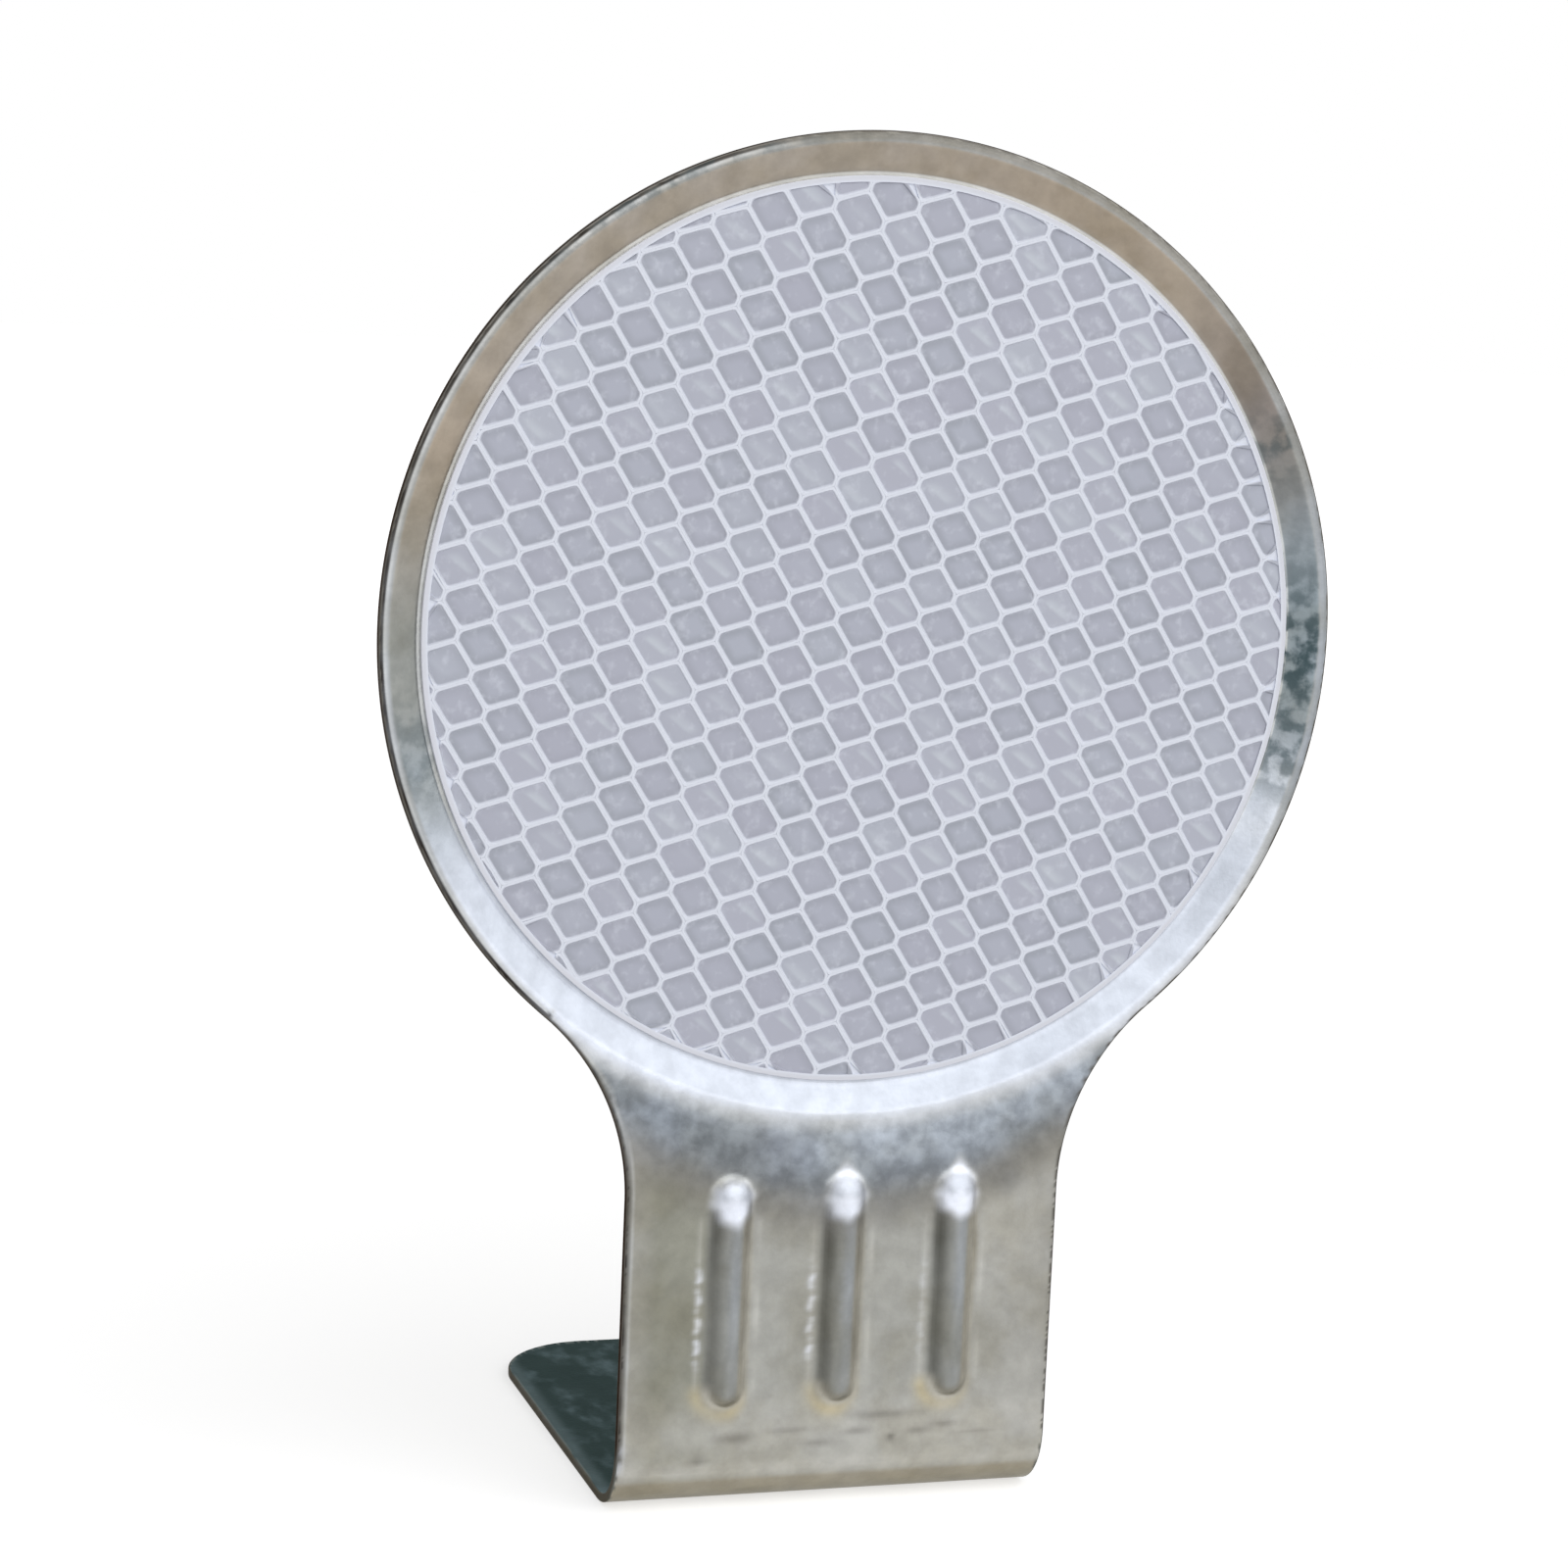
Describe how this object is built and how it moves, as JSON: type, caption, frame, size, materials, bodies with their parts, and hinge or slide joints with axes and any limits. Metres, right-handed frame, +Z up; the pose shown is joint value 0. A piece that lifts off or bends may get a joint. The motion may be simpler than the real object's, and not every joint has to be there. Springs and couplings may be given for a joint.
{
  "type": "reflective driveway marker",
  "caption": "Upright roadside marker: a round dished sheet-metal head holding a honeycomb reflective disc, on a beaded neck with a foot bent back at the bottom.",
  "frame": {"origin": "centre of the flat underside of the foot", "axes": "+Z up along the panel, -Y the way the reflector faces, +Y along the foot, +X to the right seen from the front"},
  "size_m": [0.11, 0.0655, 0.155],
  "materials": {
    "galvanised_sheet": "dull galvanised with faint spangle",
    "reflective_film": "glossy white honeycomb reflective film"
  },
  "bodies": {
    "root": {"marker_plate": "galvanised_sheet", "reflective_disc": "reflective_film"}
  },
  "joints": []
}
